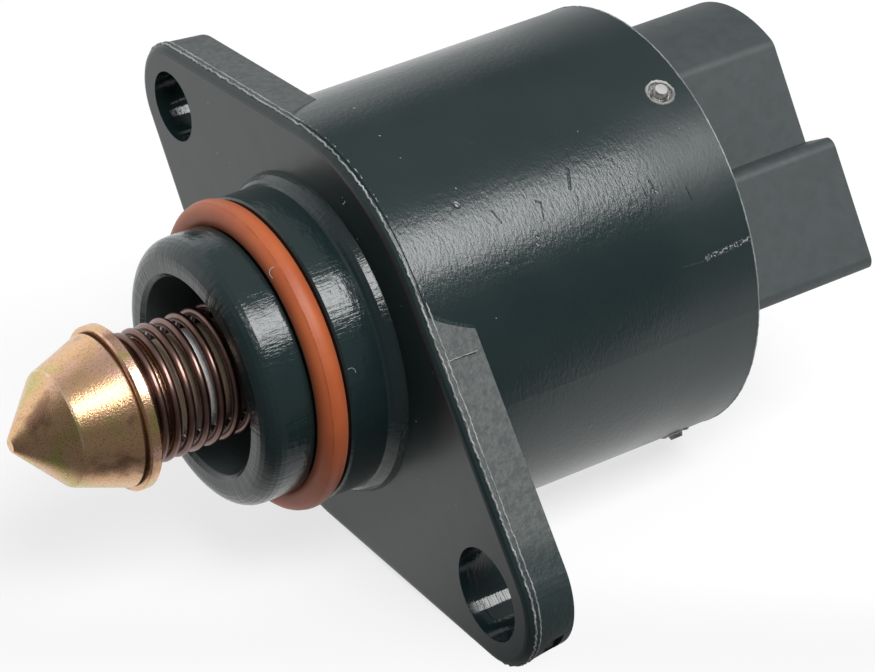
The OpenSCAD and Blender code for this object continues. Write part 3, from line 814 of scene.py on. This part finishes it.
def make_ring_tree():
    """A seal ring with its mould line round the outside."""
    tree, given, out = new_group(
        "seal ring", "GeometryNodeTree",
        [("Ring Radius", NUMBER, 0.01167), ("Cord Radius", NUMBER, 0.0012), ("Middle X", NUMBER, 0.006),
         ("Line Angle", NUMBER, 0.5), ("Line Height", NUMBER, 4e-5), ("Material", MATERIAL, None)],
        [("Geometry", GEOMETRY)])
    circle = add(tree, "GeometryNodeCurvePrimitiveCircle", Resolution=240, Radius=given["Ring Radius"])
    shift = add(tree, "ShaderNodeCombineXYZ", i0=given["Middle X"]).outputs[0]
    upright = add(tree, "GeometryNodeTransform", Geometry=circle.outputs[0], Translation=shift,
                  Rotation=(0, math.pi / 2, 0))
    section = add(tree, "GeometryNodeCurvePrimitiveCircle", Resolution=80, Radius=given["Cord Radius"])

    def raise_line(shape):
        """Raise the mould line out of the ring, higher and lower along its way."""
        where = add(tree, "GeometryNodeInputPosition").outputs[0]
        parts = add(tree, "ShaderNodeSeparateXYZ", i0=where).outputs
        outward = less(tree, from_axis(tree, parts), given["Ring Radius"])
        forward = less(tree, parts[0], given["Middle X"])
        turn = less(tree, maths(tree, "ARCTAN2", forward, outward), given["Line Angle"])
        line = ramp(tree, maths(tree, "ABSOLUTE", turn), 0.0, 0.12, 1.0, 0.0)
        wobble = noise(tree, where, 700.0, 2.0)
        height = times(tree, line, given["Line Height"], wobble)
        normal = add(tree, "GeometryNodeInputNormal").outputs[0]
        moved = add(tree, "GeometryNodeSetPosition", Geometry=shape,
                    Offset=vectors(tree, "SCALE", normal, height))
        return moved.outputs[0]

    finish_tube(tree, upright.outputs[0], section.outputs[0], given["Material"], out, raise_line)
    return tree


def make_flash_tree():
    """Moulding flash: a thin broken ridge along the path it is given."""
    tree, given, out = new_group(
        "moulding flash", "GeometryNodeTree",
        [("Geometry", GEOMETRY, None), ("Height", NUMBER, 0.0001), ("Step", NUMBER, 0.0001),
         ("Wander", NUMBER, 0.00004), ("Break", NUMBER, 0.5), ("Seed", NUMBER, 0.0),
         ("Material", MATERIAL, None)],
        [("Geometry", GEOMETRY)])
    path = add(tree, "GeometryNodeMeshToCurve", i0=given["Geometry"])
    even = tree.nodes.new("GeometryNodeResampleCurve")
    even.mode = "LENGTH"
    feed(tree, even.inputs["Curve"], path.outputs[0])
    feed(tree, even.inputs["Length"], given["Step"])
    where = add(tree, "GeometryNodeInputPosition").outputs[0]
    seed = add(tree, "ShaderNodeCombineXYZ", i0=given["Seed"], i1=given["Seed"]).outputs[0]
    here = vectors(tree, "ADD", where, seed)
    shake = add(tree, "ShaderNodeTexNoise", Vector=here, Scale=2600.0, Detail=2.0).outputs["Color"]
    shake = vectors(tree, "SUBTRACT", shake, (0.5, 0.5, 0.5))
    moved = add(tree, "GeometryNodeSetPosition", Geometry=even.outputs[0],
                Offset=vectors(tree, "SCALE", shake, given["Wander"]))
    wide = noise(tree, here, 420.0, 3.0, 0.7)
    size = ramp(tree, wide, less(tree, given["Break"], 0.14), given["Break"], 0.08, 1.0)
    fine = noise(tree, here, 3800.0, 2.0, 0.7)
    size = times(tree, size, total(tree, 0.45, fine))
    scaled = add(tree, "GeometryNodeSetCurveRadius", Curve=moved.outputs[0], Radius=size)
    section = add(tree, "GeometryNodeCurvePrimitiveCircle", Resolution=6, Radius=given["Height"])
    finish_tube(tree, scaled.outputs[0], section.outputs[0], given["Material"], out)
    return tree


def make_lip_tree():
    """A ragged raised lip round each pin, on the points it is given."""
    tree, given, out = new_group(
        "swaged lips", "GeometryNodeTree",
        [("Geometry", GEOMETRY, None), ("Lip Radius", NUMBER, 0.0012), ("Lip Height", NUMBER, 0.0001),
         ("Material", MATERIAL, None)],
        [("Geometry", GEOMETRY)])
    circle = add(tree, "GeometryNodeCurvePrimitiveCircle", Resolution=96, Radius=given["Lip Radius"])
    section = add(tree, "GeometryNodeCurvePrimitiveCircle", Resolution=8, Radius=given["Lip Height"])
    tube = add(tree, "GeometryNodeCurveToMesh", Curve=circle.outputs[0])
    feed(tree, tube.inputs["Profile Curve"], section.outputs[0])
    named = tree.nodes.new("GeometryNodeInputNamedAttribute")
    named.data_type = "FLOAT_VECTOR"
    named.inputs["Name"].default_value = "outward"
    turned = tree.nodes.new("FunctionNodeAlignRotationToVector")
    turned.axis = "Z"
    feed(tree, turned.inputs["Vector"], named.outputs[0])
    points = add(tree, "GeometryNodeMeshToPoints", i0=given["Geometry"])
    copies = add(tree, "GeometryNodeInstanceOnPoints", Points=points.outputs[0],
                 Instance=tube.outputs[0], Rotation=turned.outputs[0])
    plain = add(tree, "GeometryNodeRealizeInstances", i0=copies.outputs[0])
    where = add(tree, "GeometryNodeInputPosition").outputs[0]
    normal = add(tree, "GeometryNodeInputNormal").outputs[0]
    rough = less(tree, noise(tree, where, 1500.0, 3.0, 0.7), 0.5)
    ragged = add(tree, "GeometryNodeSetPosition", Geometry=plain.outputs[0],
                 Offset=vectors(tree, "SCALE", normal, times(tree, rough, 0.00044)))
    smooth = add(tree, "GeometryNodeSetShadeSmooth", i0=ragged.outputs[0])
    done = add(tree, "GeometryNodeSetMaterial", Geometry=smooth.outputs[0], Material=given["Material"])
    feed(tree, out["Geometry"], done.outputs[0])
    return tree


def grow(name, tree, values, path=None):
    """Run a geometry tree once and keep the plain mesh that it makes."""
    holder = bpy.data.objects.new(name, path or bpy.data.meshes.new(name))
    bpy.context.collection.objects.link(holder)
    modifier = holder.modifiers.new("shape", "NODES")
    modifier.node_group = tree
    for item in tree.interface.items_tree:
        if item.item_type == "SOCKET" and item.in_out == "INPUT" and item.name in values:
            modifier[item.identifier] = values[item.name]
    bpy.context.view_layer.update()
    graph = bpy.context.evaluated_depsgraph_get()
    made = bpy.data.meshes.new_from_object(holder.evaluated_get(graph))
    holder.modifiers.clear()
    holder.data = made
    if not made.polygons:
        raise RuntimeError(f"{name} came out empty")
    return holder


def outward_at(turn):
    """Y and Z of the way out from the axis, at degrees round from the flange's long axis."""
    angle = FLANGE_TURN + math.radians(turn)
    return math.cos(angle), math.sin(angle)


def path_mesh(name, points, closed=True):
    """Points in millimetres, joined into one path."""
    made = bpy.data.meshes.new(name)
    count = len(points)
    edges = [(i, (i + 1) % count) for i in range(count if closed else count - 1)]
    made.from_pydata([tuple(part * MM for part in point) for point in points], edges, [])
    return made


def fibre_path(place, length, turn):
    """A short curled fibre that starts at a place on the valve, in millimetres."""
    along, across, up = place
    out = math.hypot(across, up)
    stretch = length / PATH_STEPS
    points = []
    for step in range(PATH_STEPS + 1):
        reach = length * step / PATH_STEPS
        curl = turn + FIBRE_CURL * reach / length
        along += stretch * math.cos(curl)
        arc = math.atan2(up, across) + stretch * math.sin(curl) / out
        across, up = out * math.cos(arc), out * math.sin(arc)
        points.append((along, across, up))
    return points


def flange_outline(along, inset):
    """Outline of the flange at a place along the valve, moved in by inset, in millimetres."""
    def tangent(near, far):
        """Turn at which a straight line touches both discs."""
        return math.acos((near[1] - far[1]) / abs(far[0] - near[0]))

    middle, large, small = FLANGE_DISCS
    to_large = tangent(middle, large)
    to_small = math.pi - tangent(middle, small)
    arcs = (
        (large, -to_large, to_large), (middle, to_large, to_small),
        (small, to_small, 2 * math.pi - to_small), (middle, -to_small, -to_large))
    points = []
    for (centre, radius), start, stop in arcs:
        steps = max(8, int(abs(stop - start) * radius / OUTLINE_STEP))
        for step in range(steps + 1):
            turn = start + (stop - start) * step / steps
            points.append((centre + (radius - inset) * math.cos(turn), (radius - inset) * math.sin(turn)))
    return [(along, *turn_to_flange(across, up)) for across, up in points]


def turn_to_flange(across, up):
    """Turn a place given along and over the flange's long axis to the valve's Y and Z."""
    long_y, long_z = math.cos(FLANGE_TURN), math.sin(FLANGE_TURN)
    return across * long_y - up * long_z, across * long_z + up * long_y


def circle_path(name, along, radius, start=0.0, stop=360.0):
    """A circle or arc round the valve's axis, in millimetres and degrees."""
    degrees_a_step = 2
    steps = int(abs(stop - start) / degrees_a_step)
    closed = stop - start >= 360
    points = []
    for step in range(steps + (0 if closed else 1)):
        turn = math.radians(start + (stop - start) * step / steps)
        points.append((along, radius * math.cos(turn), radius * math.sin(turn)))
    return path_mesh(name, points, closed)


def paint(nodes, material):
    """Give CAD nodes a material."""
    for name in nodes:
        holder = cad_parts[name]
        holder.data.materials.clear()
        holder.data.materials.append(material)


# Operators


class VALVE_OT_stage(bpy.types.Operator):
    """Lay the floor, hang the lights and place the camera"""

    bl_idname = "valve.stage"
    bl_label = "Stage"

    def execute(self, context):
        studio = context.scene.valve_studio
        floor_mesh = bpy.data.meshes.new("floor")
        half = FLOOR_SIDE / 2
        level = -BODY_RADIUS * MM - FLOOR_GAP
        floor_mesh.from_pydata(
            [(-half, -half, level), (half, -half, level), (half, half, level), (-half, half, level)],
            [], [(0, 1, 2, 3)])
        floor = bpy.data.objects.new("floor", floor_mesh)
        context.collection.objects.link(floor)
        floor_mesh.materials.append(self.floor_material(studio))

        self.room(context, studio)
        self.lamp(context, "overhead light", place=(-0.072, 0.346, 0.485), long_side=0.53,
                  short_side=0.25, power=studio.key_power)
        self.lamp(context, "far light", place=(0.10, -0.55, 0.17), long_side=0.90,
                  short_side=0.36, power=studio.fill_power)

        self.camera(context)
        context.scene.view_settings.view_transform = "Standard"
        return {"FINISHED"}

    def camera(self, context):
        """Camera at the photograph's viewpoint."""
        data = bpy.data.cameras.new("camera")
        data.lens = CAMERA_LENS
        data.sensor_width = 36.0
        data.clip_start = 0.02
        data.clip_end = 20.0
        holder = bpy.data.objects.new("camera", data)
        right, up = Vector(CAMERA_RIGHT), Vector(CAMERA_UP)
        turn = Matrix((right, up, right.cross(up))).transposed().to_4x4()
        holder.matrix_world = Matrix.Translation(CAMERA_PLACE) @ turn
        context.collection.objects.link(holder)
        context.scene.camera = holder

    def room(self, context, studio):
        """Soft room: lighter overhead and behind the valve, and plain white to the eye."""
        world = bpy.data.worlds.new("room")
        world.use_nodes = True
        tree = world.node_tree
        way = tree.nodes.new("ShaderNodeTexCoord").outputs["Generated"]
        parts = add(tree, "ShaderNodeSeparateXYZ", i0=way).outputs
        overhead = ramp(tree, parts[2], 0.45, 0.88)
        behind = ramp(tree, less(tree, times(tree, parts[0], 0.35), parts[1]), 0.45, 0.78)
        level = onto(tree, onto(tree, ROOM_ALL_ROUND, overhead, ROOM_OVERHEAD), behind, ROOM_BEHIND)
        level = times(tree, level, studio.sky)
        seen = tree.nodes.new("ShaderNodeLightPath").outputs["Is Camera Ray"]
        level = maths(tree, "MAXIMUM", level, times(tree, seen, ROOM_SEEN))
        back = tree.nodes["Background"].inputs
        back["Color"].default_value = ROOM_TINT
        feed(tree, back["Strength"], level)
        context.scene.world = world

    def floor_material(self, studio):
        """Pale floor: white near the valve in eye and gloss alike, and darker towards the front."""
        made, tree, shader, place = new_material("pale floor", Roughness=0.8)
        parts = add(tree, "ShaderNodeSeparateXYZ", i0=place).outputs
        front = total(tree, times(tree, parts[0], FLOOR_FRONT[0]), times(tree, parts[1], FLOOR_FRONT[1]))
        dim = ramp(tree, front, *FLOOR_FADE)
        pale = tuple(studio.floor)
        feed(tree, shader["Base Color"], blend(tree, dim, pale, darker(pale, FLOOR_FRONT_COLOUR)))
        white = add(tree, "ShaderNodeEmission", Color=(1, 1, 1, 1), Strength=1.0)
        light = tree.nodes.new("ShaderNodeLightPath").outputs
        eye = onto(tree, studio.glow, dim, FLOOR_FRONT_GLOW - studio.glow)
        eye = times(tree, light["Is Camera Ray"], eye)
        gloss = maths(tree, "MAXIMUM", light["Is Glossy Ray"], light["Is Transmission Ray"])
        gloss = times(tree, gloss, onto(tree, studio.glow, dim, -studio.glow))
        mixed = tree.nodes.new("ShaderNodeMixShader")
        feed(tree, mixed.inputs[0], maths(tree, "MAXIMUM", eye, gloss))
        lit = next(node for node in tree.nodes if node.type == "BSDF_PRINCIPLED").outputs[0]
        feed(tree, mixed.inputs[1], lit)
        feed(tree, mixed.inputs[2], white.outputs[0])
        end = next(node for node in tree.nodes if node.type == "OUTPUT_MATERIAL")
        feed(tree, end.inputs["Surface"], mixed.outputs[0])
        return made

    def lamp(self, context, name, place, long_side, short_side, power):
        """A soft rectangular light with its long side along the valve."""
        data = bpy.data.lights.new(name, "AREA")
        data.shape = "RECTANGLE"
        data.size = long_side
        data.size_y = short_side
        data.energy = power
        holder = bpy.data.objects.new(name, data)
        holder.visible_camera = False
        away = Vector(place).normalized()
        long_axis = (Vector((1, 0, 0)) - away * away.x).normalized()
        turn = Matrix((long_axis, away.cross(long_axis), away)).transposed().to_4x4()
        holder.matrix_world = Matrix.Translation(place) @ turn
        context.collection.objects.link(holder)


class VALVE_OT_housing(bpy.types.Operator):
    """Finish the housing moulding"""

    bl_idname = "valve.housing"
    bl_label = "Housing"

    def execute(self, context):
        paint(["housing"], glossy_moulding(context.scene.valve_colours))
        return {"FINISHED"}


class VALVE_OT_flash(bpy.types.Operator):
    """Raise the moulding flash along the flange, the nose and the rear rim"""

    bl_idname = "valve.flash"
    bl_label = "Moulding Flash"

    def execute(self, context):
        height = context.scene.valve_sizes.flash_height
        tick_x, tick_length, *tick_place = TICK
        tick = [
            (tick_x - tick_length * step / PATH_STEPS, *turn_to_flange(*tick_place))
            for step in range(PATH_STEPS + 1)]
        nose_rim = circle_path("nose", NOSE_RIM_X - NOSE_LINE_INSET, NOSE_RIM_RADIUS,
                               *NOSE_LINE_DEGREES)
        rear_rim = circle_path("rear", REAR_RIM_X + REAR_LINE_INSET, BODY_RADIUS - REAR_LINE_INSET)
        # Name, path, height, wander in metres, and the noise level below which it breaks
        ridges = [
            ("flash_front", path_mesh("front", flange_outline(*FRONT_LINE)), height * 1.3, 0.00036, 0.55),
            ("flash_side", path_mesh("side", flange_outline(*SIDE_LINE)), height * 1.1, 0.00022, 0.53),
            ("flash_nose", nose_rim, height * 0.7, 0.00012, 0.52),
            ("flash_rear", rear_rim, height, 0.00010, 0.50),
            ("flash_tick", path_mesh("tick", tick, False), height * 0.8, 0.00010, 0.50),
        ]
        for name, kind, place, length, turn in FIBRES:
            path = path_mesh(kind, fibre_path(place, length, turn), False)
            ridges.append((name, path, FIBRE_RADIUS, 0.0, 0.1))

        # Painted highlight: the flash ridges are paler than the moulding, standing in for light on the
        # edges; the lint fibres that share this material are pale of themselves
        material = plain_plastic("flash edge with painted highlight, and lint", (0.14, 0.155, 0.152, 1), 0.28, grain=4e-6,
                                 other=(0.44, 0.45, 0.44, 1))
        tree = make_flash_tree()
        for order, (name, path, size, wander, gaps) in enumerate(ridges):
            piece = grow(name, tree, {
                "Height": size, "Step": 0.00012, "Wander": wander, "Break": gaps,
                "Seed": order / 10, "Material": material}, path)
            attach(piece, "valve_body")
        return {"FINISHED"}


class VALVE_OT_pins(bpy.types.Operator):
    """Swage the cover pins: bright metal in ragged lips"""

    bl_idname = "valve.pins"
    bl_label = "Cover Pins"

    def execute(self, context):
        paint(["cover_pin_1", "cover_pin_2"], plain_metal("bright pin steel", (0.78, 0.77, 0.75, 1), 0.30))
        # Painted shade: the third pin sits low on the body and gets a darker copy of the pin steel
        paint(["cover_pin_3"], plain_metal("pin steel painted in shade", (0.16, 0.165, 0.16, 1), 0.45))
        reach = (BODY_RADIUS - LIP_SINK) * MM
        outward = [(0.0, *outward_at(turn)) for turn, along in PINS]
        places = [
            (along * MM, reach * out_y, reach * out_z)
            for (turn, along), (_, out_y, out_z) in zip(PINS, outward)]
        points = bpy.data.meshes.new("pin places")
        points.from_pydata(places, [], [])
        given = points.attributes.new("outward", "FLOAT_VECTOR", "POINT")
        for index, vector in enumerate(outward):
            given.data[index].vector = vector
        material = plain_plastic("bruised moulding", (0.16, 0.165, 0.16, 1), 0.3, grain=6e-6,
                                 other=(0.55, 0.54, 0.52, 1))
        piece = grow("swaged_lips", make_lip_tree(), {
            "Lip Radius": LIP_RADIUS * MM, "Lip Height": 0.00012, "Material": material}, points)
        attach(piece, "valve_body")
        return {"FINISHED"}


class VALVE_OT_connector(bpy.types.Operator):
    """Finish the connector moulding and its terminals"""

    bl_idname = "valve.connector"
    bl_label = "Connector"

    def execute(self, context):
        paint(["rear_cover"], textured_moulding(context.scene.valve_colours))
        paint(["terminal_1", "terminal_2", "terminal_3", "terminal_4"],
              plain_metal("tin plated terminal", (0.66, 0.66, 0.64, 1), 0.26))
        paint(["cover_seal"], plain_plastic("black seal rubber", (0.012, 0.012, 0.012, 1), 0.4))
        return {"FINISHED"}


class VALVE_OT_seal(bpy.types.Operator):
    """Fit the nose's seal ring, with its mould line"""

    bl_idname = "valve.seal"
    bl_label = "Seal Ring"

    def execute(self, context):
        cord = context.scene.valve_sizes.ring_cord
        piece = grow("seal_ring", make_ring_tree(), {
            "Ring Radius": GROOVE_RING_RADIUS * MM, "Cord Radius": cord / 2,
            "Middle X": GROOVE_RING_X * MM, "Line Angle": SEAL_LINE_ANGLE, "Line Height": 0.00005,
            "Material": seal_rubber(context.scene.valve_colours)})
        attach(piece, "valve_body")
        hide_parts("nose_o_ring")
        return {"FINISHED"}


class VALVE_OT_spring(bpy.types.Operator):
    """Wind the pintle spring"""

    bl_idname = "valve.spring"
    bl_label = "Spring"

    def execute(self, context):
        sizes = context.scene.valve_sizes
        wire = sizes.wire_diameter
        material = plain_metal("bronze brown spring wire", tuple(context.scene.valve_colours.wire),
                               0.24, pitch=0.00008, depth=2e-6, other=(0.155, 0.085, 0.070, 1))
        piece = grow("wound_spring", make_spring_tree(), {
            "Turns": sizes.spring_turns, "Closed Turns": 1.0, "Ease Turns": 1.2,
            "Ease": 1.05 * MM, "Wire Radius": wire / 2,
            "Start X": (SPRING_SEAT_X + SPRING_SEAT_GAP) * MM + wire / 2,
            "End X": SPRING_END_X * MM - wire / 2,
            "Mean Radius": (sizes.spring_diameter - wire) / 2,
            "Phase": sizes.spring_phase, "Material": material})
        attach(piece, "valve_body")
        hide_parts("pintle_spring")
        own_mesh(piece)
        return {"FINISHED"}


class VALVE_OT_pintle(bpy.types.Operator):
    """Finish the pintle, its screw and the guide"""

    bl_idname = "valve.pintle"
    bl_label = "Pintle and Guide"

    def execute(self, context):
        paint(["pintle_head"], yellow_zinc(context.scene.valve_colours))
        paint(["lead_screw"], plain_metal("turned screw steel", (0.5, 0.5, 0.49, 1), 0.28))
        paint(["guide_tube"], plain_plastic("tan guide resin", (0.30, 0.22, 0.16, 1), 0.38))
        paint(["guide_ring"], plain_plastic("white nylon", (0.93, 0.91, 0.90, 1), 0.35))
        return {"FINISHED"}


class VALVE_OT_motor(bpy.types.Operator):
    """Finish the bearing, the rotor and the two coil units inside"""

    bl_idname = "valve.motor"
    bl_label = "Motor Parts"

    def execute(self, context):
        steel = plain_metal("ground bearing steel", (0.60, 0.61, 0.62, 1), 0.18)
        paint(["bearing_outer_race", "bearing_inner_race", "bearing_balls", "thrust_washer"], steel)
        paint(["bearing_cage"], plain_metal("cage brass", (0.55, 0.38, 0.16, 1), 0.3))
        paint(["rotor_hub"], plain_plastic("hub moulding", (0.05, 0.052, 0.05, 1), 0.4))
        paint(["rotor_nut"], plain_metal("nut brass", (0.6, 0.42, 0.16, 1), 0.25))
        paint(["rotor_magnet"],
              plain_metal("sintered magnet", (0.10, 0.10, 0.105, 1), 0.5, pitch=0.0004, depth=3e-6))
        paint(["front_stator_cup", "front_claw_plate", "rear_stator_cup", "rear_claw_plate"],
              plain_metal("pressed stator steel", (0.42, 0.43, 0.43, 1), 0.32, pitch=0.0005))
        paint(["front_bobbin", "rear_bobbin"], plain_plastic("bobbin resin", (0.62, 0.58, 0.48, 1), 0.4))
        paint(["front_winding", "rear_winding"],
              plain_metal("enamelled copper turns", (0.55, 0.22, 0.09, 1), 0.25, pitch=0.00016, depth=2e-5))
        paint(["rear_bush"],
              plain_metal("sintered bronze", (0.42, 0.26, 0.12, 1), 0.45, pitch=0.0003, depth=3e-6))
        return {"FINISHED"}


STEPS = (
    VALVE_OT_stage, VALVE_OT_housing, VALVE_OT_flash, VALVE_OT_pins, VALVE_OT_connector,
    VALVE_OT_seal, VALVE_OT_spring, VALVE_OT_pintle, VALVE_OT_motor,
)


class VALVE_PT_panel(bpy.types.Panel):
    """Sizes, colours and steps of the valve"""

    bl_idname = "VALVE_PT_panel"
    bl_label = "Idle Air Control Valve"
    bl_space_type = "VIEW_3D"
    bl_region_type = "UI"
    bl_category = "Valve"

    def draw(self, context):
        scene = context.scene
        for group in (scene.valve_sizes, scene.valve_colours, scene.valve_studio):
            box = self.layout.box()
            for name in group.__annotations__:
                box.prop(group, name)
        for step in STEPS:
            self.layout.operator(step.bl_idname)


CLASSES = (ValveSizes, ValveColours, ValveStudio, *STEPS, VALVE_PT_panel)


def register():
    """Make the classes and the scene's settings known."""
    for item in CLASSES:
        bpy.utils.register_class(item)
    bpy.types.Scene.valve_sizes = bpy.props.PointerProperty(type=ValveSizes)
    bpy.types.Scene.valve_colours = bpy.props.PointerProperty(type=ValveColours)
    bpy.types.Scene.valve_studio = bpy.props.PointerProperty(type=ValveStudio)


def unregister():
    """Take the scene's settings and the classes away again."""
    del bpy.types.Scene.valve_sizes
    del bpy.types.Scene.valve_colours
    del bpy.types.Scene.valve_studio
    for item in reversed(CLASSES):
        bpy.utils.unregister_class(item)


def main():
    """Run every step."""
    register()
    make_effects()
    bpy.ops.valve.stage()
    bpy.ops.valve.housing()
    bpy.ops.valve.flash()
    bpy.ops.valve.pins()
    bpy.ops.valve.connector()
    bpy.ops.valve.seal()
    bpy.ops.valve.spring()
    bpy.ops.valve.pintle()
    bpy.ops.valve.motor()


if __name__ == "__main__":
    main()
